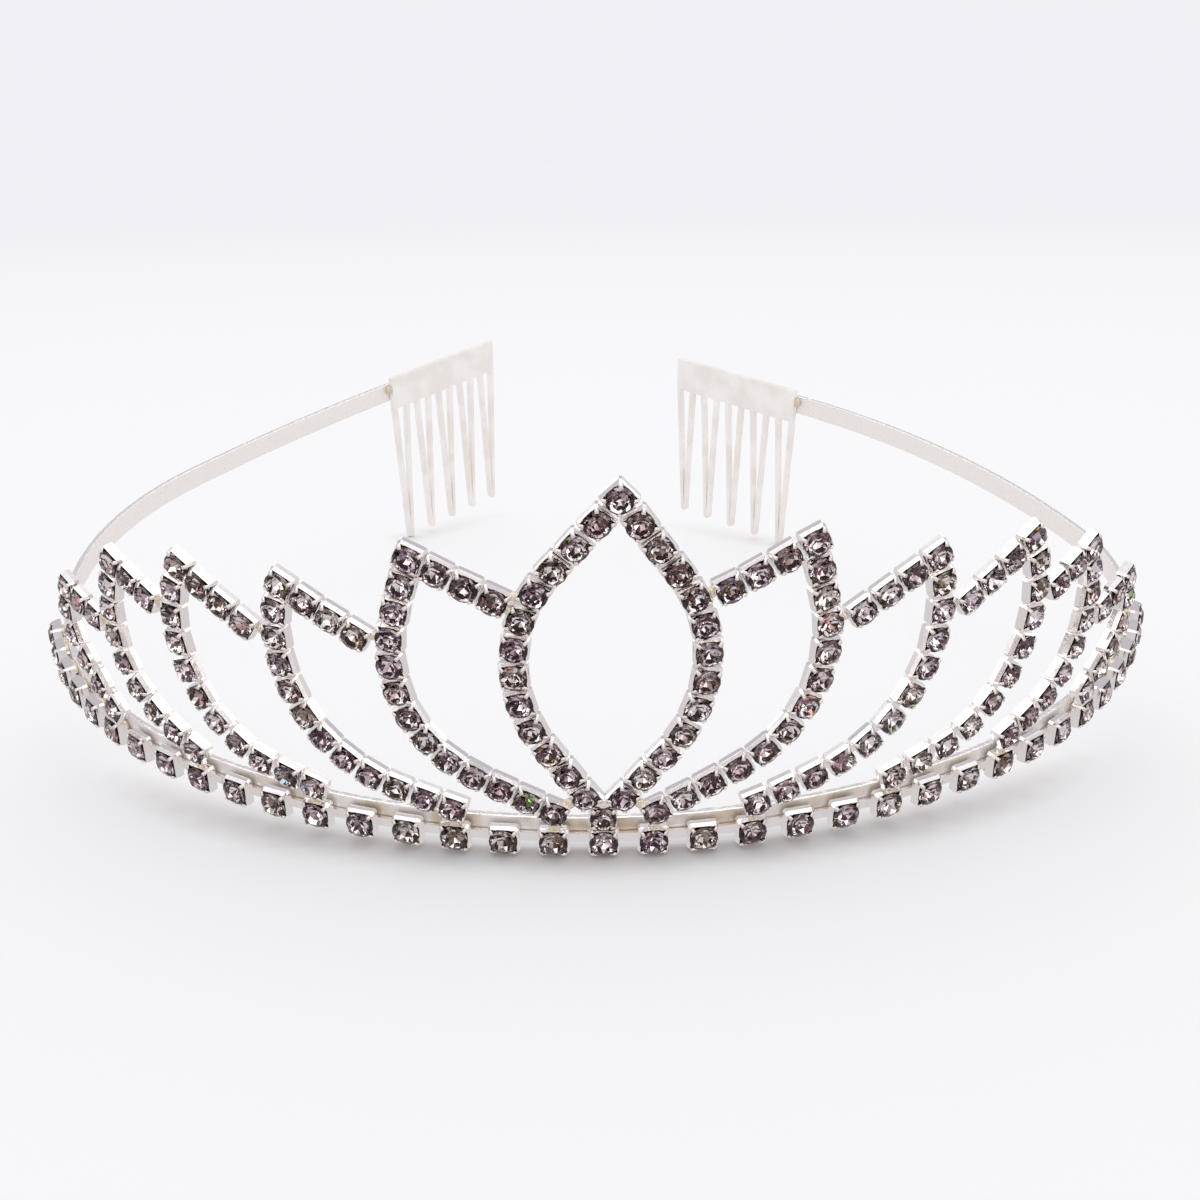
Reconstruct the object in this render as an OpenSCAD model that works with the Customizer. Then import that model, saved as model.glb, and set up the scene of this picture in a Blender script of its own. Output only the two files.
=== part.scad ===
// Rhinestone tiara: leaf-shaped petals of cup chain on a sprung headband, with a hair comb at each end.
// The petals are a flat pattern of points [s, h], bent round the plan curve of the band:
// s runs along the band from its middle, to the right as seen from the front, and h is the height.
// The front faces -Y, and the tiara stands on its front cups and on the outer teeth of its combs.

/* [Plan curve] */
// Radius of the flat front arc, at the front of the stones
front_radius = 80; // [74:1:90]
// Half angle of the front arc
front_half_angle = 33; // [31:1:36]
// Radius of each side arc, as far as the base row reaches
side_radius = 57; // [55:1:59]
// Angle of each side arc
side_angle = 40; // [39:1:42]
// Radius of the bend behind the left petals; use has sprung the band's two sides unevenly
left_bend_radius = 53; // [50:1:56]
// Angle of that bend
left_bend_angle = 50; // [47:1:53]
// Radius of the left tail, from the bend to the comb
left_tail_radius = 300; // [250:10:350]
// Angle of the left tail
left_tail_angle = 8; // [6:1:9]
// Radius of the bend behind the right petals
right_bend_radius = 32; // [30:1:35]
// Angle of that bend
right_bend_angle = 33; // [31:1:36]
// Radius of the right tail, from the bend to the comb
right_tail_radius = 110; // [100:5:120]
// Angle of the right tail
right_tail_angle = 32; // [29:1:34]

/* [Headband] */
// Height of the flat strip
band_h = 3; // [2.6:0.1:3.6]
// Thickness of the strip
band_t = 0.7; // [0.5:0.1:1]
// Height of the strip's lower edge over the lowest cups
band_low = 0.5; // [0.4:0.1:0.8]
// Length of strip that runs on behind the comb's plate
band_lap = 13; // [8:1:18]

/* [Combs] */
// Width of the comb's plate
comb_w = 24; // [21:0.5:25]
// Height of the plate
plate_h = 5.4; // [4.8:0.1:6]
// Height of the plate's top edge over the lowest cups
plate_top = 4.6; // [4.4:0.1:5.4]
// Thickness of the stamped metal
comb_t = 0.9; // [0.7:0.1:1]
// Number of hairpin teeth
teeth = 5; // [4:1:5]
// Width of a tooth where it leaves the plate
tooth_w = 3.5; // [3:0.1:3.7]
// Width of the metal in each leg of a tooth
leg_w = 0.8; // [0.6:0.1:0.9]
// Drop of the left comb's teeth below the lowest cups, along the comb
tooth_drop = 25.2; // [22:0.1:28]

/* [Petals] */
// Distance between the stones of a cup chain
chain_pitch = 3.05; // [3:0.05:3.2]
// Height of the centre petal's top stone
centre_tip_h = 38.5; // [36:0.5:40]
// Height of the centre petal's lowest stone
centre_foot_h = 4.45; // [4.4:0.05:4.8]
// Place of the centre petal's bend along the band
centre_bend_s = 13.1; // [12:0.1:13.5]
// Height of the centre petal's bend
centre_bend_h = 21.8; // [20:0.1:23]
// Radius of the centre petal's bend
centre_bend_r = 15.5; // [14:0.5:17]
// Angle by which use has turned the centre petal on its foot
centre_turn = 3; // [0:0.5:3]
// Sideways lean that use has given to the side petals
lean_angle = 2; // [0:0.5:2]

/* [Cups and stones] */
// Side of a chain's square cup
cup_w = 2.6; // [2.5:0.05:2.65]
// Depth of a chain's cup
cup_d = 1.4; // [1.35:0.05:1.5]
// Side of a base row's cup
base_cup_w = 2.9; // [2.7:0.05:2.9]
// Depth of a base row's cup
base_cup_d = 1.4; // [1.35:0.05:1.4]
// Distance between the cups of the base row
base_pitch = 4.95; // [4.7:0.05:5]
// Number of cups in the base row on each side of the middle one
base_side_cups = 17; // [15:1:17]
// Height of the flat strip that joins the base row's cups
rail_h = 1; // [0.8:0.1:1.6]
// Thickness of that strip
rail_t = 0.25; // [0.2:0.05:0.4]

/* [Hidden] */
// Each side petal, as seen on the right of the middle: the stone at its tip, the corner and radius of its
// outer edge's bend, the stone at its foot, the last stone of its upper edge, and how far use has bent
// all but the foot up or down on the left and on the right
//  tip_s  tip_h  bend_s bend_h bend_r foot_s foot_h join_s join_h left_up right_up
PETALS = [
    [18.5, 32.4,  23.2,  14.5,  14.5,   5.0,  5.0,  10.7,  28.6,  -0.3,    0.4],
    [31.6, 28.3,  37.6,  12.4,  16.0,  15.0,  4.9,  24.0,  24.1,  -0.7,    0.7],
    [43.6, 27.4,  51.5,  10.5,  14.8,  29.8,  4.9,  36.2,  22.8,  -0.4,    0.5],
    [53.8, 24.2,  57.8,  11.4,  12.0,  44.7,  4.9,  48.7,  21.8,   0.3,   -0.5],
    [65.0, 16.9,  67.4,  11.8,   4.5,  58.2,  4.9,  58.9,  15.9,   0.4,   -1.2]
];
TIP_S = 0;
TIP_H = 1;
BEND_S = 2;
BEND_H = 3;
BEND_R = 4;
FOOT_S = 5;
FOOT_H = 6;
JOIN_S = 7;
JOIN_H = 8;
LEFT_UP = 9;
RIGHT_UP = 10;

$fn = 240;
LEFT = -1;
RIGHT = 1;
DEG = 180 / PI;
// Gap between neighbouring pieces
gap = 0.15;
// Stone: half width across its flats, and the heights of crown, girdle and pavilion
stone_r = 1.2;
base_stone_r = 1.3;
crown_h = 0.42;
girdle_h = 0.1;
pavilion_h = 0.75;
// The flat table's share of the stone's width
table_share = 0.55;
// The stone's table stands this far out of the cup's prongs
table_proud = 0.22;
// Gap between a stone's girdle and the prongs
stone_gap = 0.13;
// Cup: thickness of its floor and walls, and the side of its corner prongs and their height over the rim
floor_t = 0.2;
cup_wall = 0.15;
prong_w = 0.34;
prong_h = 0.5;
// Tab that links two cups of a chain
tab_w = 1;
tab_t = 0.2;
tab_bite = 0.3;
// Strip behind the base row's cups
rail_low = 0.9;
rail_bite = 0.1;
// Back of the base row's strip, and front and back of the headband, measured inwards from the stones' front
rail_back = base_cup_d + rail_t;
band_front = rail_back + gap;
band_back = band_front + band_t;
comb_front = band_back + gap;
// Length of the short straights that follow the plan curve
strip_step = 2.5;
// Tooth spacing, with the outer edges of the end teeth flush with the plate
tooth_pitch = (comb_w - tooth_w) / (teeth - 1);
tooth_tip_r = 0.55;

// Plan curve: the arcs of one side, from the band's middle to its comb, as [radius, angle]
function arcs(side) = [
    [front_radius, front_half_angle],
    [side_radius, side_angle],
    side == LEFT ? [left_bend_radius, left_bend_angle] : [right_bend_radius, right_bend_angle],
    side == LEFT ? [left_tail_radius, left_tail_angle] : [right_tail_radius, right_tail_angle]
];
function arc_length(arc) = arc[0] * arc[1] / DEG;
// Length along one side from the band's middle to the comb's plate
function tail_end(side) = [for (arc = arcs(side)) arc_length(arc)] * [1, 1, 1, 1];
// Each place of the curve is [x, y, direction], with y inwards and the direction in degrees
function arc_end(p, r, a) = [
    p.x + r * (sin(p.z + a) - sin(p.z)),
    p.y + r * (cos(p.z) - cos(p.z + a)),
    p.z + a
];
// Place at the length s from the place p, over the listed arcs from number i on and then straight on
function walk(p, s, list, i) =
    i == len(list) ? [p.x + s * cos(p.z), p.y + s * sin(p.z), p.z]
    : s < arc_length(list[i]) ? arc_end(p, list[i][0], s / list[i][0] * DEG)
    : walk(arc_end(p, list[i][0], list[i][1]), s - arc_length(list[i]), list, i + 1);
function half_plan(s, side) = walk([0, 0, 0], s, arcs(side), 0);
function plan(s) = s < 0 ? let (p = half_plan(-s, LEFT)) [-p.x, p.y, -p.z] : half_plan(s, RIGHT);

// The band's plane tilts back until the outer teeth touch the surface that the front cups stand on
function tooth_y(side) =
    let (p = half_plan(tail_end(side) + tooth_w / 2 - tooth_tip_r, side))
    p.y + (comb_front + comb_t) * cos(p.z);
tilt = atan(tooth_drop / tooth_y(LEFT));
function drop(side) = tooth_y(side) * tan(tilt);
// Depth of the whole tiara, from the centre petal's tip to the inner tooth of the further comb
front_y = -(centre_tip_h + cup_w / sqrt(2)) * sin(tilt);
function inner_tooth_y(side) =
    let (p = half_plan(tail_end(side) + comb_w - tooth_w / 2, side))
    (p.y + comb_front * cos(p.z)) * cos(tilt) + drop(side) * sin(tilt);
back_y = max(inner_tooth_y(LEFT), inner_tooth_y(RIGHT));
mid_y = (front_y + back_y) / 2;
// Half width of each side, where its bend runs straight back
side_start = arc_end([0, 0, 0], front_radius, front_half_angle);
bend_start = arc_end(side_start, side_radius, side_angle);
function half_width(side) = arc_end(bend_start, arcs(side)[2][0], 90 - bend_start.z).x;
mid_x = (half_width(RIGHT) - half_width(LEFT)) / 2;

// A run of chain in the flat pattern: a straight from a towards c, a bend of radius r and a straight to b
function unit(v) = v / norm(v);
function turned(v, a) = [v.x * cos(a) - v.y * sin(a), v.x * sin(a) + v.y * cos(a)];
function run_turn(a, c, b) = let (u = unit(c - a), w = unit(b - c)) atan2(u.x * w.y - u.y * w.x, u * w);
function run_cut(a, c, b, r) = r * tan(abs(run_turn(a, c, b)) / 2);
function run_length(a, c, b, r) =
    norm(c - a) + norm(b - c) - 2 * run_cut(a, c, b, r) + r * abs(run_turn(a, c, b)) / DEG;
// Point at length t of the run, as [s, h, direction]
function run_point(a, c, b, r, t) =
    let (
        u = unit(c - a),
        w = unit(b - c),
        turn = run_turn(a, c, b),
        cut = run_cut(a, c, b, r),
        bend_at = norm(c - a) - cut,
        bend_len = r * abs(turn) / DEG,
        swung = sign(turn) * (t - bend_at) / r * DEG,
        out = sign(turn) * r * [u.y, -u.x],
        past = norm(b - c) - (run_length(a, c, b, r) - t),
        p = t < bend_at ? a + u * t
            : t < bend_at + bend_len ? a + u * bend_at - out + turned(out, swung)
            : c + w * past,
        d = t < bend_at ? u : t < bend_at + bend_len ? turned(u, swung) : w
    )
    [p.x, p.y, atan2(d.y, d.x)];
// Places of the cups along a run, after the one at its start, at a pitch close to that of the chain
function run_places(a, c, b, r) =
    let (len = run_length(a, c, b, r), n = round(len / chain_pitch))
    [for (i = [1:n]) run_point(a, c, b, r, min(i * len / n, len - 0.001))];
function line_places(a, b) =
    let (n = round(norm(b - a) / chain_pitch), d = b - a)
    [for (i = [1:n]) [a.x + d.x * i / n, a.y + d.y * i / n, atan2(d.y, d.x)]];
function flipped(places) = [for (p = places) [-p.x, p.y, 180 - p.z]];
function backwards(places) = [for (i = [len(places) - 1:-1:0]) places[i]];
function leaning(places) = [for (p = places) [p.x + p.y * tan(lean_angle), p.y, p.z]];
function turned_on_foot(places, angle) =
    let (foot = places[0])
    [
        for (p = places)
            let (q = turned([p.x - foot.x, p.y - foot.y], angle))
            [foot.x + q.x, foot.y + q.y, p.z + angle]
    ];

// Centre petal: a closed leaf from its foot up the right side to the tip and down the left side
function centre_places() =
    let (
        foot = [0, centre_foot_h],
        tip = [0, centre_tip_h],
        side = run_places(tip, [centre_bend_s, centre_bend_h], foot, centre_bend_r),
        right = [for (i = [0:len(side) - 2]) side[i]],
        leaf = concat([[0, centre_foot_h, 0]], backwards(right), [[0, centre_tip_h, 45]], flipped(right))
    )
    turned_on_foot(leaf, -centre_turn);
// Side petal: from the inner end of its upper edge out to the tip, and down the outer edge to the foot
function petal_places(row, side) =
    let (
        up = side == LEFT ? row[LEFT_UP] : row[RIGHT_UP],
        tip = [row[TIP_S], row[TIP_H] + up],
        join = [row[JOIN_S], row[JOIN_H] + up],
        bend = [row[BEND_S], row[BEND_H] + up],
        foot = [row[FOOT_S], row[FOOT_H]],
        upper = line_places(tip, join),
        outer = run_places(tip, bend, foot, row[BEND_R]),
        places = concat(backwards(upper), [[tip.x, tip.y, upper[0].z]], outer)
    )
    leaning(side == LEFT ? flipped(places) : places);
function base_places() = [for (i = [-base_side_cups:base_side_cups]) [i * base_pitch, base_cup_w / 2, 0]];

// Sets the tiara on its front cups and teeth, with the origin under the middle of its box
module standing() {
    translate([-mid_x, -mid_y, 0]) rotate([tilt, 0, 0]) children();
}

// Moves a shape to a place of the flat pattern: x along the band, y inwards and z up
module on_band(s, h) {
    p = plan(s);
    translate([p.x, p.y, h]) rotate(p.z) children();
}

// Turns a shape so that its z looks out of the tiara and its x follows the chain
module facing_out(angle = 0) {
    rotate([90, 0, 0]) rotate(angle) children();
}

// A flat strip that follows the plan curve from s0 to s1, from the depth d0 to the depth d1
function plan_edge(s0, s1, d) =
    let (n = ceil((s1 - s0) / strip_step))
    [for (i = [0:n]) let (p = plan(s0 + i * (s1 - s0) / n)) [p.x - d * sin(p.z), p.y + d * cos(p.z)]];
module bent_strip(s0, s1, d0, d1, low, h) {
    outer = plan_edge(s0, s1, d0);
    inner = plan_edge(s0, s1, d1);
    translate([0, 0, low]) linear_extrude(h) polygon(concat(outer, backwards(inner)));
}

// A brilliant with a flat table, eight crown facets, a girdle and eight pavilion facets
module stone(r) {
    rings = [[table_share * r, 0], [r, crown_h], [r, crown_h + girdle_h]];
    culet = [0, 0, -(crown_h + girdle_h + pavilion_h)];
    points = [
        for (ring = rings, i = [0:7])
            ring.x / cos(22.5) * [cos(22.5 + 45 * i), sin(22.5 + 45 * i), 0] - [0, 0, ring.y],
        culet
    ];
    table = [7, 6, 5, 4, 3, 2, 1, 0];
    sides = [for (k = [0, 8], i = [0:7]) let (j = (i + 1) % 8) [k + i, k + j, k + 8 + j, k + 8 + i]];
    pavilion = [for (i = [0:7]) [16 + i, 16 + (i + 1) % 8, 24]];
    translate([0, 0, table_proud]) polyhedron(points, concat([table], sides, pavilion));
}

// A square cup with a prong at each corner, before its seat is cut
module cup(w, d) {
    opening = w - 2 * prong_w;
    difference() {
        translate([-w / 2, -w / 2, -d]) cube([w, w, d]);
        for (a = [0, 90])
            rotate(a) translate([-opening / 2, -w, -prong_h]) cube([opening, 2 * w, d]);
    }
}

// The seat of a stone of half width r: an octagonal hollow down to the cup's floor, and room for the girdle
module octagon_prism(low, half_w, h) {
    translate([0, 0, low]) rotate(22.5) cylinder(h = h, r = half_w / cos(22.5), $fn = 8);
}
module seat(w, d, r) {
    octagon_prism(floor_t - d, w / 2 - cup_wall, d);
    octagon_prism(-prong_h, r + stone_gap, d);
}

// Tab between the floors of two neighbouring cups of a chain
module tab(p, q) {
    mid = (p + q) / 2;
    reach = norm([q.x - p.x, q.y - p.y]) - cup_w + 2 * tab_bite;
    on_band(mid.x, mid.y)
        facing_out(atan2(q.y - p.y, q.x - p.x))
            translate([-reach / 2, -tab_w / 2, -cup_d + (floor_t - tab_t) / 2])
                cube([reach, tab_w, tab_t]);
}

module chain_cups(places, closed = false) {
    last = len(places) - 1;
    difference() {
        union() {
            for (p = places) on_band(p.x, p.y) facing_out(p.z) cup(cup_w, cup_d);
            for (i = [0:last - 1]) tab(places[i], places[i + 1]);
            if (closed) tab(places[last], places[0]);
        }
        for (p = places) on_band(p.x, p.y) facing_out(p.z) seat(cup_w, cup_d, stone_r);
    }
}

module chain_stones(places) {
    for (p = places) on_band(p.x, p.y) facing_out(p.z) stone(stone_r);
}

module headband() {
    left_end = -(tail_end(LEFT) + band_lap);
    right_end = tail_end(RIGHT) + band_lap;
    color("silver")
        standing()
            bent_strip(left_end, right_end, band_front, band_back, band_low, band_h);
}

// One hairpin tooth, as a flat outline that hangs from y = 0
module tooth(length) {
    root = tooth_w / 2;
    slot_end = -length + 3 * tooth_tip_r;
    difference() {
        union() {
            polygon([
                [-root, 0.5],
                [-root, 0],
                [-tooth_tip_r, tooth_tip_r - length],
                [tooth_tip_r, tooth_tip_r - length],
                [root, 0],
                [root, 0.5]
            ]);
            translate([0, tooth_tip_r - length]) circle(tooth_tip_r);
        }
        polygon([[leg_w - root, 0], [0, slot_end], [root - leg_w, 0]]);
    }
}

// Each comb's plate and teeth are stamped from one flat sheet, and the teeth reach down to the surface
module comb(side) {
    plate_low = plate_top - plate_h;
    length = drop(side) + plate_low;
    standing()
        on_band(side * (tail_end(side) + comb_w / 2), 0)
            facing_out()
                translate([0, 0, -comb_front - comb_t])
                    linear_extrude(comb_t)
                        union() {
                            translate([-comb_w / 2, plate_low]) square([comb_w, plate_h]);
                            for (i = [0:teeth - 1])
                                translate([tooth_w / 2 - comb_w / 2 + i * tooth_pitch, plate_low])
                                    tooth(length);
                        }
}

module right_comb() {
    color("silver") comb(RIGHT);
}

module left_comb() {
    color("silver") comb(LEFT);
}

// The base row's cups are soldered to one flat strip that runs behind them
module base_row_cups() {
    rail_end = base_side_cups * base_pitch + base_cup_w / 2;
    color("silver")
        standing()
            difference() {
                union() {
                    for (p = base_places()) on_band(p.x, p.y) facing_out() cup(base_cup_w, base_cup_d);
                    bent_strip(-rail_end, rail_end, base_cup_d - rail_bite, rail_back, rail_low, rail_h);
                }
                for (p = base_places())
                    on_band(p.x, p.y) facing_out() seat(base_cup_w, base_cup_d, base_stone_r);
            }
}

module base_row_stones() {
    color("lavender")
        standing()
            for (p = base_places()) on_band(p.x, p.y) facing_out() stone(base_stone_r);
}

module centre_petal_cups() {
    color("silver") standing() chain_cups(centre_places(), closed = true);
}

module centre_petal_stones() {
    color("lavender") standing() chain_stones(centre_places());
}

module petal_cups(number, side) {
    color("silver") standing() chain_cups(petal_places(PETALS[number - 1], side));
}

module petal_stones(number, side) {
    color("lavender") standing() chain_stones(petal_places(PETALS[number - 1], side));
}

headband();
left_comb();
right_comb();
base_row_cups();
base_row_stones();
centre_petal_cups();
centre_petal_stones();
petal_cups(1, LEFT);  // left_petal_1_cups
petal_stones(1, LEFT);  // left_petal_1_stones
petal_cups(1, RIGHT);  // right_petal_1_cups
petal_stones(1, RIGHT);  // right_petal_1_stones
petal_cups(2, LEFT);  // left_petal_2_cups
petal_stones(2, LEFT);  // left_petal_2_stones
petal_cups(2, RIGHT);  // right_petal_2_cups
petal_stones(2, RIGHT);  // right_petal_2_stones
petal_cups(3, LEFT);  // left_petal_3_cups
petal_stones(3, LEFT);  // left_petal_3_stones
petal_cups(3, RIGHT);  // right_petal_3_cups
petal_stones(3, RIGHT);  // right_petal_3_stones
petal_cups(4, LEFT);  // left_petal_4_cups
petal_stones(4, LEFT);  // left_petal_4_stones
petal_cups(4, RIGHT);  // right_petal_4_cups
petal_stones(4, RIGHT);  // right_petal_4_stones
petal_cups(5, LEFT);  // left_petal_5_cups
petal_stones(5, LEFT);  // left_petal_5_stones
petal_cups(5, RIGHT);  // right_petal_5_cups
petal_stones(5, RIGHT);  // right_petal_5_stones
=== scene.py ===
# %% [markdown]
# # A rhinestone tiara in cup chain
# The real tiara is made of cup chain: small square cups of silver-plated brass, linked in a row,
# each with four claws folded over a round foil-backed stone. The chains are bent into leaf-shaped
# petals and soldered to a flat sprung band that ends in two hair combs.
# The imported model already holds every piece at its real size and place, so this lesson reads the
# places from it and gives the pieces their cut, their folded claws, their solder and their finish.
# Lengths are in metres and angles in radians, unless a name or comment says otherwise. Plain numbers
# and tables have names in capitals.

# %% Load the frame
import math
import random

import bmesh
import bpy
from mathutils import Matrix, Vector


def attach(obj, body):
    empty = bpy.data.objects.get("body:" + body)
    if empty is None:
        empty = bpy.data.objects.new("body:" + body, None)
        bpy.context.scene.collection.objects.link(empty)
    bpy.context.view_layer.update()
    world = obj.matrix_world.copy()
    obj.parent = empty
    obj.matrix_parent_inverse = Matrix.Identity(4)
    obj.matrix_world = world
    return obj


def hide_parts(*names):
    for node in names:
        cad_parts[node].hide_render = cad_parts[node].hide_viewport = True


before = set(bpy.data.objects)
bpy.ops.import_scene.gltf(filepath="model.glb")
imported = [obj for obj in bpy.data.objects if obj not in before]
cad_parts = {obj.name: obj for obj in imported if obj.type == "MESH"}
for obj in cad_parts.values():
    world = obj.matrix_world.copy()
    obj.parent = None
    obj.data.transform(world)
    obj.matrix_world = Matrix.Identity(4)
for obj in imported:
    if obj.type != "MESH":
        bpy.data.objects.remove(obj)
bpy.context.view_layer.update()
MM = 0.001
CHANCE_SEED = 12
PETALS_A_SIDE = 5
SIDES = ("left", "right")
SIDE_PETALS = [f"{side}_petal_{number}" for number in range(1, PETALS_A_SIDE + 1) for side in SIDES]
CHAINS = ["base_row", "centre_petal"] + SIDE_PETALS
chance = random.Random(CHANCE_SEED)
print("nodes", len(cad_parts))

# %% [markdown]
# ## The camera
# The photograph was taken from close by, so the near stones look much larger than the combs behind.
# A long lens from further away would lose that, so the camera stands at the real distance, about
# 125 mm in front of the petals. Its turn, tilt and roll are three named angles in one matrix, which
# first raises the camera to look level, because a new camera looks straight down.

# %% Camera
PHOTO_PIXELS = 1200
SENSOR_WIDTH_MM = 36
FOCAL_LENGTH_PIXELS = 1502
camera_place = Vector((-0.66, -198.14, 68.07)) * MM
camera_turn = math.radians(-0.48)
camera_down = math.radians(17.41)
camera_roll = math.radians(-0.85)
from_down_to_level = math.radians(90)
nearest_seen = 5 * MM

camera_data = bpy.data.cameras.new("photo_camera")
camera_data.sensor_width = SENSOR_WIDTH_MM
camera_data.lens = FOCAL_LENGTH_PIXELS * SENSOR_WIDTH_MM / PHOTO_PIXELS
camera_data.clip_start = nearest_seen
camera = bpy.data.objects.new("photo_camera", camera_data)
bpy.context.collection.objects.link(camera)
camera.matrix_world = (
    Matrix.Translation(camera_place)
    @ Matrix.Rotation(camera_turn, 4, "Z")
    @ Matrix.Rotation(from_down_to_level - camera_down, 4, "X")
    @ Matrix.Rotation(camera_roll, 4, "Z")
)
bpy.context.scene.camera = camera
print("lens in mm", round(camera_data.lens, 2))

# %% [markdown]
# ## Nodes and colours
# Every finish below is a small tree of shader nodes. One function adds a node with its settings and
# links, and another turns a hex colour, as a paint program shows it, into the linear light of a shader.

# %% Node helpers
def add_node(owner, kind, settings=None, links=None):
    """Adds a node to a material or world: settings are properties or inputs, links are sockets."""
    tree = owner.node_tree
    node = tree.nodes.new(kind)
    for name, value in (settings or {}).items():
        if isinstance(name, str) and hasattr(node, name):
            setattr(node, name, value)
        else:
            node.inputs[name].default_value = value
    for name, socket in (links or {}).items():
        tree.links.new(socket, node.inputs[name])
    return node


def linear(hex_colour):
    """Linear red, green, blue and alpha of a hex colour, by the curve that sRGB is defined with."""
    channels = [int(hex_colour[start:start + 2], 16) / 255 for start in (1, 3, 5)]
    return tuple(c / 12.92 if c <= 0.04045 else ((c + 0.055) / 1.055) ** 2.4 for c in channels) + (1.0,)


def new_material(name):
    """A material whose tree is still empty."""
    material = bpy.data.materials.new(name)
    material.use_nodes = True
    material.node_tree.nodes.clear()
    return material


# %% [markdown]
# ## The white sheet
# The tiara lies on a white sheet that fills the view. A wide disc does for it. Away from the tiara
# its colour fades, in every direction, to that of the backdrop, so that its far edge is lost.

# %% Floor
floor_radius = 3
FLOOR_SIDES = 96
floor_mesh = bpy.data.meshes.new("white_sheet")
disc = bmesh.new()
bmesh.ops.create_circle(disc, cap_ends=True, segments=FLOOR_SIDES, radius=floor_radius)
disc.to_mesh(floor_mesh)
disc.free()
floor = bpy.data.objects.new("white_sheet", floor_mesh)
bpy.context.collection.objects.link(floor)
print("floor radius in m", floor_radius)

# %% [markdown]
# ## The sheet's finish
# The sheet glows: a part of what it shows is its own light, as on a light table lit from below,
# though no lamp lies under it. This painted glow keeps the shadows on it pale. Only where the metal
# all but touches it do they turn to a brownish grey: painted shade, which ambient occlusion with a
# short reach puts into the sheet's colour. In the metal's mirror the sheet is a painted grey glow,
# greyer than it is to the eye, so that the cups' backs stand out from it.

# %% Sheet
BACKDROP_HEX = "#f0eff5"
fade_start = 0.05
fade_end = 1.2
contact_reach = 5 * MM
CONTACT_RAYS = 8
GLOW_SHARE = 0.28
GLOW_STRENGTH = 1.05
MIRRORED_SHEET_STRENGTH = 0.7

sheet = new_material("sheet_with_painted_glow")
sheet_place = add_node(sheet, "ShaderNodeTexCoord").outputs["Object"]
sheet_distance = add_node(sheet, "ShaderNodeVectorMath", {"operation": "LENGTH"}, {0: sheet_place})
far_away = add_node(sheet, "ShaderNodeMapRange", {
    "interpolation_type": "SMOOTHSTEP", "From Min": fade_start, "From Max": fade_end}, {
    "Value": sheet_distance.outputs["Value"]})
sheet_colour = add_node(sheet, "ShaderNodeMix", {
    "data_type": "RGBA", 6: linear("#f8f8fa"), 7: linear(BACKDROP_HEX)}, {0: far_away.outputs[0]})
# Painted contact shade: ambient occlusion darkens the sheet's colour to a brownish grey near the metal
open_sky = add_node(sheet, "ShaderNodeAmbientOcclusion", {
    "samples": CONTACT_RAYS, "Distance": contact_reach})
sheet_painted_shade = add_node(sheet, "ShaderNodeMix", {"data_type": "RGBA", 6: linear("#8f8280")}, {
    0: open_sky.outputs["AO"], 7: sheet_colour.outputs[2]})
sheet_paper = add_node(sheet, "ShaderNodeBsdfDiffuse", links={"Color": sheet_painted_shade.outputs[2]})
# Painted glow: the sheet gives off light of its own, though it is no lamp
sheet_glow = add_node(sheet, "ShaderNodeEmission", {"Strength": GLOW_STRENGTH}, {
    "Color": sheet_painted_shade.outputs[2]})
sheet_surface = add_node(sheet, "ShaderNodeMixShader", {0: GLOW_SHARE}, {
    1: sheet_paper.outputs[0], 2: sheet_glow.outputs[0]})
# Painted reflection: mirrored rays see a grey glow in place of the sheet
painted_sheet_reflection = add_node(sheet, "ShaderNodeEmission", {
    "Color": linear("#f6f3f6"), "Strength": MIRRORED_SHEET_STRENGTH})
sheet_rays = add_node(sheet, "ShaderNodeLightPath")
sheet_seen = add_node(sheet, "ShaderNodeMixShader", links={
    0: sheet_rays.outputs["Is Glossy Ray"], 1: sheet_surface.outputs[0], 2: painted_sheet_reflection.outputs[0]})
add_node(sheet, "ShaderNodeOutputMaterial", links={"Surface": sheet_seen.outputs[0]})
floor_mesh.materials.append(sheet)
print("nodes of the sheet's finish", len(sheet.node_tree.nodes))

# %% [markdown]
# ## The tent
# Silver plate and cut stones show nothing but what they mirror. In the photograph they seem to
# mirror a white tent above and behind them, and in front a darker room: the walls of the cups are
# white, while the rims and facets that look forwards go nearly black.
# From the sheet upwards the tent has a light grey hem, a white band, a greyer belt and a white top.
# Walls and backs that lean differently pick different bands, which is what shows their form.

# %% Tent
# Height, from 0 at the horizon to 1 straight up, and the colour there
TENT_BANDS = [
    (0.12, "#cbc8cc"),
    (0.22, "#fdfdff"),
    (0.34, "#fdfdff"),
    (0.44, "#b4b1b7"),
    (0.74, "#b4b1b7"),
    (0.9, "#fdfdff"),
]

world = bpy.data.worlds.new("white_tent")
bpy.context.scene.world = world
world.use_nodes = True
world.node_tree.nodes.clear()
direction = add_node(world, "ShaderNodeTexCoord").outputs["Generated"]
axes = add_node(world, "ShaderNodeSeparateXYZ", links={0: direction})
tent = add_node(world, "ShaderNodeValToRGB", links={"Fac": axes.outputs["Z"]})
tent_ramp = tent.color_ramp.elements
for height, band_colour in TENT_BANDS:
    tent_ramp.new(height).color = linear(band_colour)
# A new ramp starts with a stop at each end, and the tent needs neither
tent_ramp.remove(tent_ramp[-1])
tent_ramp.remove(tent_ramp[0])
print("bands of the tent", len(tent_ramp))

# %% [markdown]
# ## Lamps and room
# Lamps brighten the tent overhead, up to where its banded back begins. In front and below them lies
# the room, dark brown with lighter patches, which gives the stones something to break up. Each
# covers some of the directions that a mirrored ray can take: soft edges along two axes are
# multiplied together to give its share.

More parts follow.
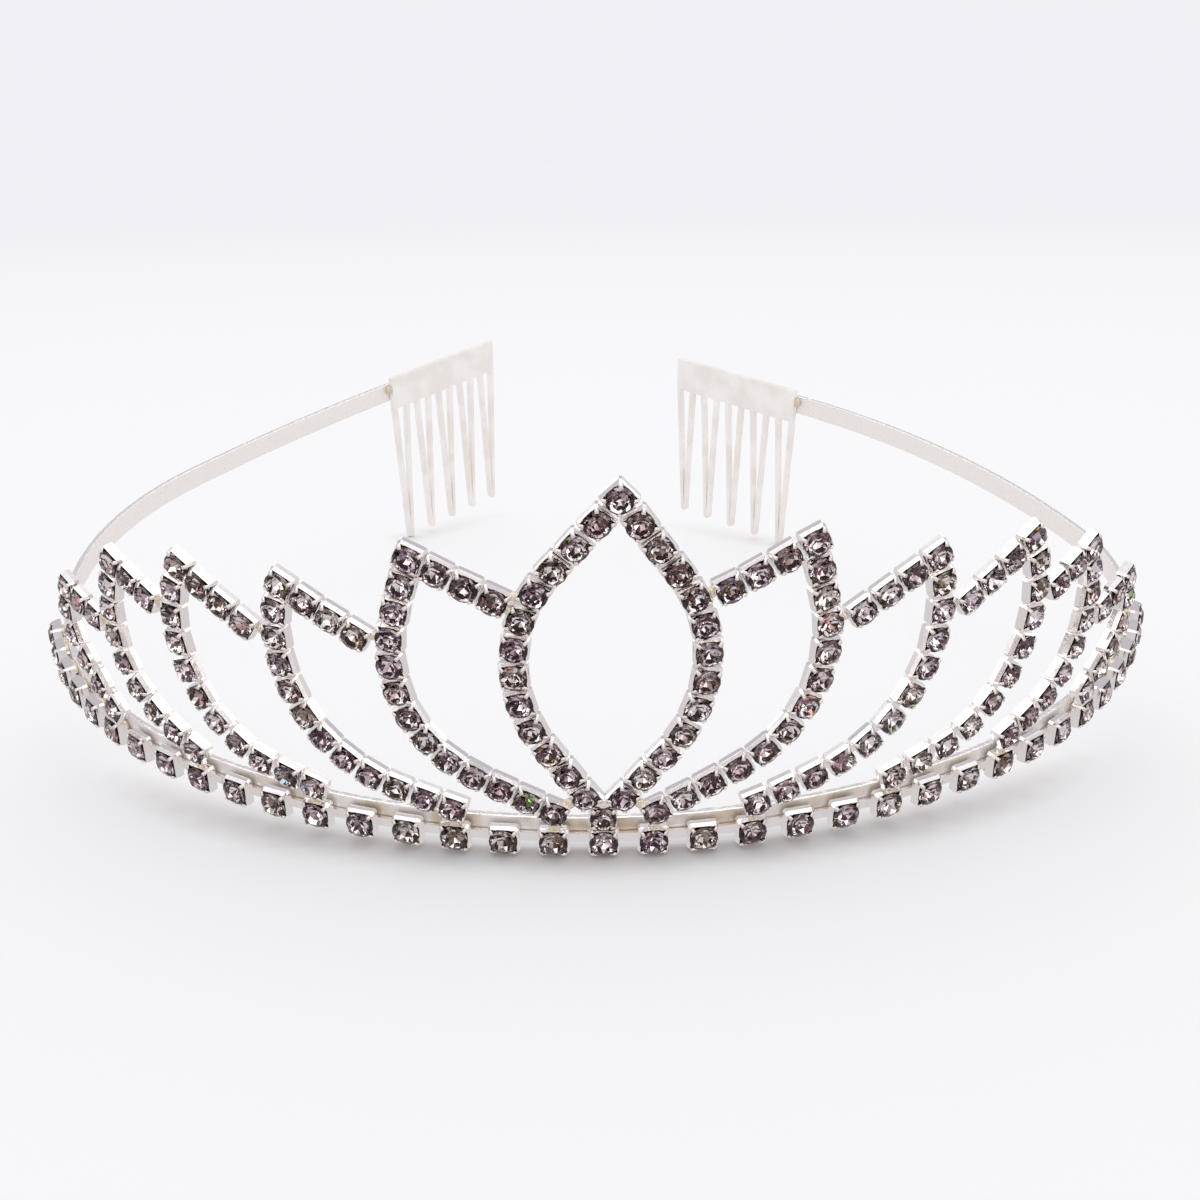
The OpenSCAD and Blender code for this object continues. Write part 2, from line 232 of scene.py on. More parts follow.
# %% Lamps and room
# Each edge: the axis that it lies across, with Y to the back and Z up, and the places along it, from
# -1 to 1, where the lamps or the room begin and where they are whole
EDGES = {
    "lamps_back": ("Y", 0.32, 0.18),
    "lamps_low": ("Z", 0.3, 0.45),
    "room_back": ("Y", 0.2, -0.2),
    "room_high": ("Z", 0.8, 0.6),
}
LAMP_LIGHT = (1.3, 1.3, 1.3, 1.0)
BRIGHT_PATCH = (1.6, 1.5, 1.47, 1.0)
# Patches in a length of the tent's radius, and the chance values up to which a patch is dark and
# from which it is bright
PATCH_SCALE = 8.0
PATCH_DARK, PATCH_LIT = 0.25, 0.7

edges = {}
for name, (axis, begin, whole) in EDGES.items():
    edges[name] = add_node(world, "ShaderNodeMapRange", {"From Min": begin, "From Max": whole}, {
        "Value": axes.outputs[axis]}).outputs[0]
lamps_share = add_node(world, "ShaderNodeMath", {"operation": "MULTIPLY"}, {
    0: edges["lamps_back"], 1: edges["lamps_low"]})
lamps = add_node(world, "ShaderNodeMix", {"data_type": "RGBA", 7: LAMP_LIGHT}, {
    0: lamps_share.outputs[0], 6: tent.outputs["Color"]})
room_share = add_node(world, "ShaderNodeMath", {"operation": "MULTIPLY"}, {
    0: edges["room_back"], 1: edges["room_high"]})
patches = add_node(world, "ShaderNodeTexVoronoi", {"Scale": PATCH_SCALE}, {"Vector": direction})
patch_value = add_node(world, "ShaderNodeSeparateColor", links={0: patches.outputs["Color"]})
patch_light = add_node(world, "ShaderNodeMapRange", {"From Min": PATCH_DARK, "From Max": PATCH_LIT}, {
    "Value": patch_value.outputs[0]})
room = add_node(world, "ShaderNodeMix", {"data_type": "RGBA", 6: linear("#200f0e"), 7: BRIGHT_PATCH}, {
    0: patch_light.outputs[0]})
mirrored = add_node(world, "ShaderNodeMix", {"data_type": "RGBA"}, {
    0: room_share.outputs[0], 6: lamps.outputs[2], 7: room.outputs[2]})
print("soft edges", list(edges))

# %% [markdown]
# ## What each ray sees
# Mirrored rays, and those that have passed through a stone, see the tent, lamps and room. Matt
# surfaces are lit by a plain white that is only a little brighter from a wide window behind and
# above, so the soft shadows fall towards the camera. The camera itself sees a plain pale backdrop.
# The photograph keeps its blacks black and lets its whites run out, so the view transform is the
# plain one.

# %% Window, backdrop and output
TENT_STRENGTH = 1.15
WINDOW_DIRECTION = (0, 0.6, 0.8)
# Cosines of the angle to the window at which its light begins and is whole
WINDOW_BEGIN, WINDOW_WHOLE = 0.6, 0.95
LIGHT_AWAY, LIGHT_AT_WINDOW = 0.88, 1.25
BACKDROP_STRENGTH = 1.0

towards_window = add_node(world, "ShaderNodeVectorMath", {
    "operation": "DOT_PRODUCT", 1: WINDOW_DIRECTION}, {0: direction})
window_light = add_node(world, "ShaderNodeMapRange", {
    "From Min": WINDOW_BEGIN, "From Max": WINDOW_WHOLE, "To Min": LIGHT_AWAY, "To Max": LIGHT_AT_WINDOW}, {
    "Value": towards_window.outputs["Value"]})
plain_light = add_node(world, "ShaderNodeBackground", {"Color": linear("#fffefe")}, {
    "Strength": window_light.outputs[0]})
mirrored_light = add_node(world, "ShaderNodeBackground", {"Strength": TENT_STRENGTH}, {
    "Color": mirrored.outputs[2]})
backdrop = add_node(world, "ShaderNodeBackground", {
    "Color": linear(BACKDROP_HEX), "Strength": BACKDROP_STRENGTH})
rays = add_node(world, "ShaderNodeLightPath")
is_mirrored = add_node(world, "ShaderNodeMath", {"operation": "MAXIMUM"}, {
    0: rays.outputs["Is Glossy Ray"], 1: rays.outputs["Is Transmission Ray"]})
lit = add_node(world, "ShaderNodeMixShader", links={
    0: is_mirrored.outputs[0], 1: plain_light.outputs[0], 2: mirrored_light.outputs[0]})
seen = add_node(world, "ShaderNodeMixShader", links={
    0: rays.outputs["Is Camera Ray"], 1: lit.outputs[0], 2: backdrop.outputs[0]})
add_node(world, "ShaderNodeOutputWorld", links={"Surface": seen.outputs[0]})
bpy.context.scene.view_settings.view_transform = "Standard"
print("nodes of the world", len(world.node_tree.nodes))

# %% [markdown]
# ## The silver plate
# Cups, links and band are stamped brass with a thin coat of silver, tumbled bright. The plate
# mirrors almost everything, a little warmer than the tent, and fine tumbling marks blur it slightly.
# Where it is rubbed or dull, as on the claws, the band and the combs, a part of the light is
# scattered instead, and a lower metallic value gives that. Noise of a real size makes the marks.

# %% Silver plate
MARK_DETAIL = 3.0
MARK_RELIEF = 0.6
# Roughness of the smoothest and the roughest spots, as shares of the plate's own
SMOOTHEST, ROUGHEST = 0.7, 1.4
STAIN_SIZE_MM = 4
# Noise values at which a stain's patches begin and are whole
STAIN_BEGIN, STAIN_WHOLE = 0.4, 0.6


def silver_plate(name, hex_colour, roughness, mark_size_mm, mark_depth_mm, metallic=1.0, stain=None):
    """Bright plate with soft tumbling marks of a real size; where it is rubbed matt it is less metallic.

    A stain is its hex colour and the two places along Y, in mm, between which it sets in.
    """
    material = new_material(name)
    place = add_node(material, "ShaderNodeTexCoord").outputs["Object"]
    marks = add_node(material, "ShaderNodeTexNoise", {
        "Scale": 1 / (mark_size_mm * MM), "Detail": MARK_DETAIL}, {"Vector": place})
    relief = add_node(material, "ShaderNodeBump", {
        "Strength": MARK_RELIEF, "Distance": mark_depth_mm * MM}, {"Height": marks.outputs[0]})
    gloss = add_node(material, "ShaderNodeMapRange", {
        "To Min": roughness * SMOOTHEST, "To Max": roughness * ROUGHEST}, {"Value": marks.outputs[0]})
    surface = add_node(material, "ShaderNodeBsdfPrincipled", {
        "Base Color": linear(hex_colour), "Metallic": metallic}, {
        "Roughness": gloss.outputs[0], "Normal": relief.outputs[0]})
    if stain:
        stain_hex, clean_y, stained_y = stain
        clouds = add_node(material, "ShaderNodeTexNoise", {"Scale": 1 / (STAIN_SIZE_MM * MM)}, {
            "Vector": place})
        cloudy = add_node(material, "ShaderNodeMapRange", {
            "From Min": STAIN_BEGIN, "From Max": STAIN_WHOLE}, {"Value": clouds.outputs[0]})
        along = add_node(material, "ShaderNodeSeparateXYZ", links={0: place})
        reached = add_node(material, "ShaderNodeMapRange", {
            "From Min": clean_y * MM, "From Max": stained_y * MM}, {"Value": along.outputs["Y"]})
        stained = add_node(material, "ShaderNodeMath", {"operation": "MULTIPLY"}, {
            0: cloudy.outputs[0], 1: reached.outputs[0]})
        colour = add_node(material, "ShaderNodeMix", {
            "data_type": "RGBA", 6: linear(hex_colour), 7: linear(stain_hex)}, {0: stained.outputs[0]})
        material.node_tree.links.new(colour.outputs[2], surface.inputs["Base Color"])
    add_node(material, "ShaderNodeOutputMaterial", links={"Surface": surface.outputs[0]})
    return material


cup_silver = silver_plate(
    "silver_plated_brass", "#fffcfa", roughness=0.12, mark_size_mm=0.6, mark_depth_mm=0.02)
claw_silver = silver_plate(
    "rubbed_silver_claws", "#fff5f0", roughness=0.25, mark_size_mm=0.4, mark_depth_mm=0.02, metallic=0.45)
print("cup metals", cup_silver.name, claw_silver.name)

# %% [markdown]
# ## Band, comb and solder metals
# The band is duller than the cups and has yellowed to tan behind the petals' feet, where it was
# soldered. Its upper edge is bright and nicked by wear. The combs are duller still, with faint
# stains. The solder has yellowed to cream between the cups and to brown where the band meets a comb.

# %% Band, combs and solder
band_silver = silver_plate(
    "silver_plated_strip", "#faf5f2", roughness=0.28, mark_size_mm=1.2, mark_depth_mm=0.01,
    metallic=0.25, stain=("#cbb393", -50, -68))
nicked_edge = silver_plate(
    "nicked_strip_edge", "#fffcfa", roughness=0.15, mark_size_mm=1.1, mark_depth_mm=0.3, metallic=0.8)
comb_silver = silver_plate(
    "silver_plated_comb_steel", "#fdfaf8", roughness=0.5, mark_size_mm=0.8, mark_depth_mm=0.01,
    metallic=0.15, stain=("#f6f0eb", 0, 20))
solder_metal = silver_plate(
    "yellowed_solder", "#ece0cc", roughness=0.25, mark_size_mm=0.5, mark_depth_mm=0.04, metallic=0.5)
brown_solder = silver_plate(
    "burnt_solder", "#dccdbb", roughness=0.4, mark_size_mm=0.5, mark_depth_mm=0.04, metallic=0.2)
print("other metals", band_silver.name, nicked_edge.name, comb_silver.name, solder_metal.name,
      brown_solder.name)

# %% [markdown]
# ## The stones' glass and foil
# A rhinestone is lead glass with a mirror foil on its back facets. Light goes in through the crown,
# comes back from the foil and leaves through another facet, so the stone is mostly picked-up
# patches of the room. The glass is clear and sharp, and a rosy tint on what its surface mirrors
# warms the dark facets. The foil is a mirror whose colour changes from facet to facet, a painted
# reflection of the tent or the room. The steep ring below the girdle, where the foil ends, is
# painted dark brown: painted shade for the gap between stone and cup, a dark line round every stone.

# %% Glass, foil and lacquer
LEAD_GLASS_IOR = 1.56

crown_glass = new_material("clear_lead_glass")
glass_surface = add_node(crown_glass, "ShaderNodeBsdfPrincipled", {
    "Base Color": linear("#fff9fa"), "Roughness": 0.0, "IOR": LEAD_GLASS_IOR,
    "Transmission Weight": 1.0, "Specular Tint": linear("#eccac4")})
add_node(crown_glass, "ShaderNodeOutputMaterial", links={"Surface": glass_surface.outputs[0]})

mirror_foil = new_material("mirror_foil_on_glass")
# The foil's colour is a painted reflection, one tone for each facet
painted_facet_reflection = add_node(mirror_foil, "ShaderNodeAttribute", {"attribute_name": "painted_facet_reflection"})
foil_surface = add_node(mirror_foil, "ShaderNodeBsdfPrincipled", {"Metallic": 1.0, "Roughness": 0.02}, {
    "Base Color": painted_facet_reflection.outputs["Color"]})
add_node(mirror_foil, "ShaderNodeOutputMaterial", links={"Surface": foil_surface.outputs[0]})

# Painted shade: a dark brown on the stone's steep ring stands for the shadowed gap between stone and cup
painted_gap_shade = new_material("painted_gap_shade")
gap_shade_surface = add_node(painted_gap_shade, "ShaderNodeBsdfPrincipled", {
    "Base Color": linear("#241816"), "Roughness": 0.35})
add_node(painted_gap_shade, "ShaderNodeOutputMaterial", links={"Surface": gap_shade_surface.outputs[0]})
print("materials", len(bpy.data.materials))

# %% [markdown]
# ## Where the stones sit
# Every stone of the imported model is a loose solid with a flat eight-sided table. The middle of the
# table says where the stone is and its normal says which way it looks. The flat walls of the cup
# around it say how the cup is turned: their directions repeat every quarter turn, so the average is
# taken on four times the angle.

# %% Read the places
TABLE_SIDES = 8
CUP_SIDES = 4
# Sine of the most that a wall may lean from the axis of its stone
WALL_LEAN = 0.1
weld = 0.001 * MM
wall_reach = 2 * MM
flat_angle = math.radians(1)


def clean_copy(node):
    """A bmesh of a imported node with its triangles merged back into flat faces."""
    copy = bmesh.new()
    copy.from_mesh(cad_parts[node].data)
    bmesh.ops.remove_doubles(copy, verts=copy.verts, dist=weld)
    bmesh.ops.dissolve_limit(copy, angle_limit=flat_angle, verts=copy.verts, edges=copy.edges)
    return copy


def stone_places(chain):
    """One matrix for each stone: its middle on the table, Z looking out and X square to its cup's wall."""
    stones = clean_copy(f"{chain}_stones")
    cups = clean_copy(f"{chain}_cups")
    walls = [(face.calc_center_median(), face.normal.copy(), face.calc_area()) for face in cups.faces]
    found = []
    for table in [face for face in stones.faces if len(face.verts) == TABLE_SIDES]:
        centre = table.calc_center_median()
        outward = table.normal.copy()
        side = outward.orthogonal().normalized()
        up = outward.cross(side)
        turns = 0
        for middle, normal, area in walls:
            if (middle - centre).length < wall_reach and abs(normal.dot(outward)) < WALL_LEAN:
                turn = CUP_SIDES * math.atan2(normal.dot(up), normal.dot(side))
                turns += area * complex(math.cos(turn), math.sin(turn))
        turn = math.atan2(turns.imag, turns.real) / CUP_SIDES
        along = side * math.cos(turn) + up * math.sin(turn)
        axes_matrix = Matrix((along, outward.cross(along), outward)).transposed()
        found.append(Matrix.Translation(centre) @ axes_matrix.to_4x4())
    stones.free()
    cups.free()
    return found


places = {chain: stone_places(chain) for chain in CHAINS}
print("stones", {chain: len(found) for chain, found in places.items()})

# %% [markdown]
# ## The cut
# A stone like this has a flat table, a row of 24 three-sided crown facets, a steep ring of 16 below
# the girdle, and then the pavilion, 24 facets and eight more that run to a point. Rings of points at
# the right heights are enough: their convex hull is the cut stone, as a grinder's flat wheel would
# leave it, and coplanar triangles are merged again.

# %% Brilliant
# Table, girdle, edge of the foil and pavilion: share of the stone's radius, depth in mm, corners
RINGS = [
    (0.56, 0, TABLE_SIDES),
    (1, 0.44, 2 * TABLE_SIDES),
    (0.85, 0.74, 2 * TABLE_SIDES),
    (0.45, 1.09, TABLE_SIDES),
]
culet_below_table = 1.35 * MM
facet_angle = math.radians(2)
# Back facets whose normal has a larger Z than this are the steep ring, which gets the painted shade
STEEP_NORMAL = -0.7
CLEAR, FOIL, GAP_SHADE = 0, 1, 2


def cut_stone(radius):
    """A round brilliant with the middle of its table at the origin."""
    stone = bmesh.new()
    for share, depth_mm, corners in RINGS:
        ring = bmesh.ops.create_circle(stone, segments=corners, radius=radius * share)["verts"]
        bmesh.ops.translate(stone, verts=ring, vec=(0, 0, -depth_mm * MM))
    bmesh.ops.create_vert(stone, co=(0, 0, -culet_below_table))
    bmesh.ops.convex_hull(stone, input=stone.verts)
    bmesh.ops.dissolve_limit(stone, angle_limit=facet_angle, verts=stone.verts, edges=stone.edges)
    bmesh.ops.recalc_face_normals(stone, faces=stone.faces)
    for face in stone.faces:
        back_finish = GAP_SHADE if face.normal.z > STEEP_NORMAL else FOIL
        face.material_index = CLEAR if face.normal.z > 0 else back_finish
    return stone


# %% [markdown]
# ## Joining copies
# A petal is one piece of chain, so its cups are one mesh and its stones another. Each copy is
# turned a degree or two by chance, as hand-bent chain is, and neighbours then catch the light
# differently. A stone is also turned about its own axis, because nobody lines stones up in a cup.

# %% Joining
def as_mesh(name, shape):
    """Keeps a bmesh as mesh data that can be copied many times."""
    mesh = bpy.data.meshes.new(name)
    shape.to_mesh(mesh)
    shape.free()
    return mesh


def join_copies(copies):
    """One bmesh of many copies, each given as its mesh data and its matrix."""
    whole = bmesh.new()
    for mesh, matrix in copies:
        before = len(whole.verts)
        whole.from_mesh(mesh)
        whole.verts.ensure_lookup_table()
        bmesh.ops.transform(whole, matrix=matrix, verts=whole.verts[before:])
    return whole


def by_chance(largest_tilt, largest_spin):
    """A small turn by chance about a copy's own axes, with its limits in degrees."""
    tilt_x = Matrix.Rotation(math.radians(chance.uniform(-largest_tilt, largest_tilt)), 4, "X")
    tilt_y = Matrix.Rotation(math.radians(chance.uniform(-largest_tilt, largest_tilt)), 4, "Y")
    spin = Matrix.Rotation(math.radians(chance.uniform(-largest_spin, largest_spin)), 4, "Z")
    return tilt_x @ tilt_y @ spin


def make_piece(name, shape, materials, replaced):
    """Makes a piece of the tiara from a bmesh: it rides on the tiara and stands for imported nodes."""
    mesh = as_mesh(name, shape)
    for material in materials:
        mesh.materials.append(material)
    piece = bpy.data.objects.new(name, mesh)
    bpy.context.collection.objects.link(piece)
    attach(piece, "root")
    if replaced:
        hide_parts(*replaced)
    return piece


# %% [markdown]
# ## Light and dark facets
# Seen close, a rhinestone is a star of wedges: some foil facets send back the tent and are white,
# some send back the dark room and are nearly black, and the rest lie between in a warm grey. Which
# is which changes from stone to stone, so that pattern is painted into the foil: each foil facet
# draws a painted reflection, a tone by chance from a table of four kinds, and each stone draws how
# warm its foil is. Now and then a facet gets a painted glint of colour, as where a stone splits the
# light.

# %% Facet tones
# Painted reflections of black, dark, middling and bright facets: how common each kind is, and its
# darkest and lightest tone
PAINTED_REFLECTION_TONES = [(0.22, 0.03, 0.12), (0.16, 0.14, 0.32), (0.24, 0.35, 0.65), (0.38, 0.85, 1.0)]
# A stone's green and blue are raised to powers between these, which dims them and leaves it warm
GREEN_LOSS = (1.1, 1.3)
BLUE_LOSS = (1.05, 1.3)
# Painted glints of colour: how often a foil facet gets one, and their colours
PAINTED_FIRE_SHARE = 0.007
PAINTED_FIRE_COLOURS = ["#9fdcff", "#ffd84a", "#9be36a", "#ffb48a", "#b6a2ff", "#ffb0a8"]


def painted_foil_reflection(green_loss, blue_loss):
    """The painted reflection of one foil facet: the colour that it sends back."""
    if chance.random() < PAINTED_FIRE_SHARE:
        return linear(chance.choice(PAINTED_FIRE_COLOURS))
    _, darkest, lightest = chance.choices(PAINTED_REFLECTION_TONES, weights=[tone[0] for tone in PAINTED_REFLECTION_TONES])[0]
    shade = chance.uniform(darkest, lightest)
    return (shade, shade ** green_loss, shade ** blue_loss, 1)


print("mean shade", round(sum(share * (low + high) / 2 for share, low, high in PAINTED_REFLECTION_TONES), 3))

# %% [markdown]
# ## The stones
# The base row's stones are a little larger than the petals'. A chain's stones are one mesh, and a
# colour on each face carries its painted reflection to the foil. The crown and the painted dark ring
# don't read theirs.

# %% Stones
HALF_FACET_TURN = 180 / TABLE_SIDES
STONE_TILT = 1.5
chain_stone_radius = 1.32 * MM
base_stone_radius = 1.43 * MM

chain_stone = as_mesh("chain_stone", cut_stone(chain_stone_radius))
base_stone = as_mesh("base_stone", cut_stone(base_stone_radius))
stone_finishes = [crown_glass, mirror_foil, painted_gap_shade]
for chain, found in places.items():
    cut = base_stone if chain == "base_row" else chain_stone
    stones = join_copies([(cut, place @ by_chance(STONE_TILT, HALF_FACET_TURN)) for place in found])
    painted_facet_reflection_layer = stones.faces.layers.float_color.new("painted_facet_reflection")
    for number, facet in enumerate(stones.faces):
        first_of_stone = number % len(cut.polygons) == 0
        if first_of_stone:
            losses = (chance.uniform(*GREEN_LOSS), chance.uniform(*BLUE_LOSS))
        facet[painted_facet_reflection_layer] = painted_foil_reflection(*losses)
    make_piece(f"{chain}_cut_stones", stones, stone_finishes, [f"{chain}_stones"])
print("facets of a stone", len(chain_stone.polygons))

# %% [markdown]
# ## The cup
# A cup is stamped from thin sheet: a square box with nipped corners whose rim leans in to hold the
# stone, and a claw at each corner that is folded over the crown. A cube with bevelled uprights
# gives the box, an inset and an extrusion hollow it, and each claw grows out of a corner of the rim
# in two steps that turn it inwards, the first wider and the second narrower. The rear of the walls
# is flat, a fine pressed line runs round above it, and the lip leans in from there. The back has a
# shallow pressed square.

# %% Sizes of a cup
# Depths and heights are counted from the table of the cup's stone or from the part that they name
table_rise = 0.22 * MM
cup_depth = 1.4 * MM
lip_start_below_table = 1.1 * MM
rim_below_table = 0.6 * MM
lip_lean = 0.09 * MM
press_line = 0.04 * MM
rim_width = 0.1 * MM
floor_thickness = 0.2 * MM
corner_nip = 0.22 * MM
back_square_inset = 0.6 * MM
back_square_depth = 0.14 * MM
BACK_SQUARE_TAPER = 0.85
# Each step of a claw: rise and reach inwards in mm, turn in degrees, and width as a share of the last
CLAW_STEPS = [(0.14, 0.14, 35, 1.6), (0.17, 0.34, 25, 0.85)]
# Least Z of a normal that counts as facing out of the cup
FACING_OUT = 0.9
# Place of the claws' metal in a cup's list of metals, where the cup's own is 0
CLAW = 1
print("cup's back below the table in mm", round((table_rise + cup_depth) / MM, 2))

# %% [markdown]
# ## Stamping the cup
# One helper does what a stamping tool does to a patch of metal: it pushes a face out or in, and may
# scale and turn it on the way. The four smallest faces of the finished rim are its nipped corners,
# and the claws grow from them.

# %% Cup
def push_out(shape, face, move, scale=1.0, turn=None):
    """Extrudes one face, scales and turns it about its middle, and moves it."""
    face = bmesh.ops.extrude_discrete_faces(shape, faces=[face])["faces"][0]
    middle = face.calc_center_median()
    change = Matrix.Translation(middle + move) @ (turn or Matrix.Identity(4)) @ Matrix.Scale(scale, 4)
    bmesh.ops.transform(shape, matrix=change @ Matrix.Translation(-middle), verts=face.verts)
    return face


def cup_body(width):
    """The square cup without its claws, placed so that its stone's table is at the origin."""
    back = -table_rise - cup_depth
    lip_start = -lip_start_below_table
    rim = -rim_below_table
    cup = bmesh.new()
    bmesh.ops.create_cube(cup, size=1)
    bmesh.ops.scale(cup, vec=(width, width, lip_start - back), verts=cup.verts)
    bmesh.ops.translate(cup, vec=(0, 0, (lip_start + back) / 2), verts=cup.verts)
    uprights = [edge for edge in cup.edges if abs(edge.verts[0].co.z - edge.verts[1].co.z) > weld]
    bmesh.ops.bevel(cup, geom=uprights, offset=corner_nip, offset_type="OFFSET", segments=1, profile=0.5,
                    affect="EDGES", material=-1)
    rear = min(cup.faces, key=lambda f: f.calc_center_median().z)
    bmesh.ops.inset_region(cup, faces=[rear], thickness=back_square_inset)
    push_out(cup, rear, Vector((0, 0, back_square_depth)), scale=BACK_SQUARE_TAPER)
    top = max(cup.faces, key=lambda f: f.calc_center_median().z)
    bmesh.ops.inset_region(cup, faces=[top], thickness=press_line)
    top = push_out(cup, top, Vector((0, 0, rim - lip_start)), scale=1 - 2 * lip_lean / width)
    bmesh.ops.inset_region(cup, faces=[top], thickness=rim_width)
    push_out(cup, top, Vector((0, 0, back + floor_thickness - rim)))
    return cup


def claw_cup(width, claw_reach):
    """A square cup with four folded claws, whose reach is a share of the table's."""
    cup = cup_body(width)
    rim_faces = [face for face in cup.faces if face.normal.z > FACING_OUT
                 and abs(face.calc_center_median().z + rim_below_table) < weld]
    for claw in sorted(rim_faces, key=lambda f: f.calc_area())[:CUP_SIDES]:
        outward = claw.calc_center_median() * Vector((1, 1, 0))
        outward.normalize()
        across = Vector((0, 0, 1)).cross(outward)
        before = len(cup.faces)
        for rise, reach, turn, share in CLAW_STEPS:
            move = Vector((0, 0, rise * MM)) - outward * reach * claw_reach * MM
            claw = push_out(cup, claw, move, share, Matrix.Rotation(-math.radians(turn), 4, across))
        cup.faces.ensure_lookup_table()
        for face in cup.faces[before:]:
            face.material_index = CLAW
            face.smooth = True
    bmesh.ops.recalc_face_normals(cup, faces=cup.faces)
    return cup


chain_cup_width = 2.8 * MM
base_cup_width = 3.05 * MM
chain_cup = as_mesh("chain_cup", claw_cup(chain_cup_width, claw_reach=0.9))
base_cup = as_mesh("base_cup", claw_cup(base_cup_width, claw_reach=0.8))
print("faces of a cup", len(chain_cup.polygons))

# %% [markdown]
# ## The links
# A short flat tab joins the floors of two neighbouring cups, and the base row has a stronger strip
# behind it. Neighbours are found by their distance, so a petal's sharp tip gets no false link: an
# open chain has one link fewer than it has cups, and the closed centre petal has as many.

# %% Links
def link_matrix(first, second, behind):
    """The place between two stones, behind their tables, with X along the chain."""
    a, b = first.translation, second.translation
    along = (b - a).normalized()
    outward = (first.col[2].xyz + second.col[2].xyz).normalized()
    outward = (outward - along * outward.dot(along)).normalized()
    turn = Matrix((along, outward.cross(along), outward)).transposed().to_4x4()
    return Matrix.Translation((a + b) / 2 - outward * behind) @ turn


def links(found, longest, length, width, thickness, behind):
    """A flat link for every pair of cups that are neighbours in the chain."""
    bar = bmesh.new()
    bmesh.ops.create_cube(bar, size=1)
    bmesh.ops.scale(bar, vec=(length, width, thickness), verts=bar.verts)
    bar_mesh = as_mesh("link", bar)
    pairs = [(a, b) for i, a in enumerate(found) for b in found[i + 1:]
             if (a.translation - b.translation).length < longest]
    print("links", len(pairs))
    return [(bar_mesh, link_matrix(a, b, behind)) for a, b in pairs]


# %% [markdown]
# ## Solder
# Where two chains touch, and where the base row meets the band, a drop of solder holds them. It has
# yellowed, so the joints show as small cream lumps. Each is a flattened sphere of chance size. The
# drops between chains are pushed in between the cups, and behind each cup of the base row a lump
# lies above or below its middle, by the way that its place happens to be turned.

# %% Solder drops
# Place of the solder in a cup's list of metals
SOLDER = 2
DROP_SUBDIVISIONS = 2
drop_radius = 1 * MM
solder_reach = 4 * MM
# Half sizes in mm along X, Y and Z of the place, because the drop that they scale has a radius of
# 1 mm: the least and the most, or one value
DROP_LENGTH, DROP_WIDTH, DROP_THICKNESS = (0.4, 0.7), (0.4, 0.6), 0.4
LUMP_LENGTH, LUMP_WIDTH, LUMP_THICKNESS = (0.8, 1.5), (0.35, 0.6), 0.5
# How far in mm a lump lies from its cup's middle, at least and at most
LUMP_ASIDE = (-0.4, 0.4)
LUMP_UP_OR_DOWN = (0.7, 1.1)
drop_behind_table = 1.1 * MM
lump_behind_table = 1.75 * MM
# A direction is level if the Z of its unit vector is smaller than this
LEVEL = 0.5

drop = bmesh.new()
bmesh.ops.create_icosphere(drop, subdivisions=DROP_SUBDIVISIONS, radius=drop_radius)
for face in drop.faces:
    face.material_index = SOLDER
    face.smooth = True
drop_mesh = as_mesh("solder_drop", drop)
print("faces of a drop", len(drop_mesh.polygons))

# %% [markdown]
# ## Placing the solder
# Drops go wherever a cup comes close to a cup of a later chain in the list, so that no pair is
# soldered twice.

# %% Solder places
def solder_drops(chain):
    """Drops between the cups of this chain and the cups of the later chains that touch them."""
    later = [place for other in CHAINS[CHAINS.index(chain) + 1:] for place in places[other]]
    drops = []
    for a in places[chain]:
        for b in later:
            if (a.translation - b.translation).length < solder_reach:
                size = (chance.uniform(*DROP_LENGTH), chance.uniform(*DROP_WIDTH), DROP_THICKNESS, 1)
                drops.append((drop_mesh, link_matrix(a, b, drop_behind_table) @ Matrix.Diagonal(size)))
    return drops


def band_lumps(found):
    """Lumps of solder behind the base row's cups, where they meet the band."""
    lumps = []
    for place in found:
        size = (chance.uniform(*LUMP_LENGTH), chance.uniform(*LUMP_WIDTH), LUMP_THICKNESS, 1)
        aside = chance.uniform(*LUMP_ASIDE) * MM
        up_or_down = chance.uniform(*LUMP_UP_OR_DOWN) * MM
        across = place.to_3x3() @ Vector((1, 0, 0))
        x, y = (aside, up_or_down) if abs(across.z) < LEVEL else (up_or_down, aside)
        offset = Matrix.Translation((x, y, -lump_behind_table))
        lumps.append((drop_mesh, place @ offset @ Matrix.Diagonal(size)))
    return lumps


# %% [markdown]
# ## Cups of every chain
# A chain's cups, links and solder are joined into one piece that stands for its packed cups. The
# petals' cups sit a little more crooked than the base row's, and the base row's links are longer.

# %% Cups of every chain
cup_metals = [cup_silver, claw_silver, solder_metal]
for chain, found in places.items():
    drops = solder_drops(chain)
    if chain == "base_row":
        copies = [(base_cup, place @ by_chance(largest_tilt=1, largest_spin=1)) for place in found]
        copies += links(found, longest=5.4 * MM, length=2.5 * MM, width=1 * MM, thickness=0.35 * MM,
                        behind=1.7 * MM)
        drops += band_lumps(found)
    else:
        copies = [(chain_cup, place @ by_chance(largest_tilt=2, largest_spin=1.5)) for place in found]
        copies += links(found, longest=3.35 * MM, length=1.1 * MM, width=1 * MM, thickness=0.2 * MM,
                        behind=1.52 * MM)
    print(chain, "solder drops", len(drops))
    make_piece(f"{chain}_claw_cups", join_copies(copies + drops), cup_metals, [f"{chain}_cups"])

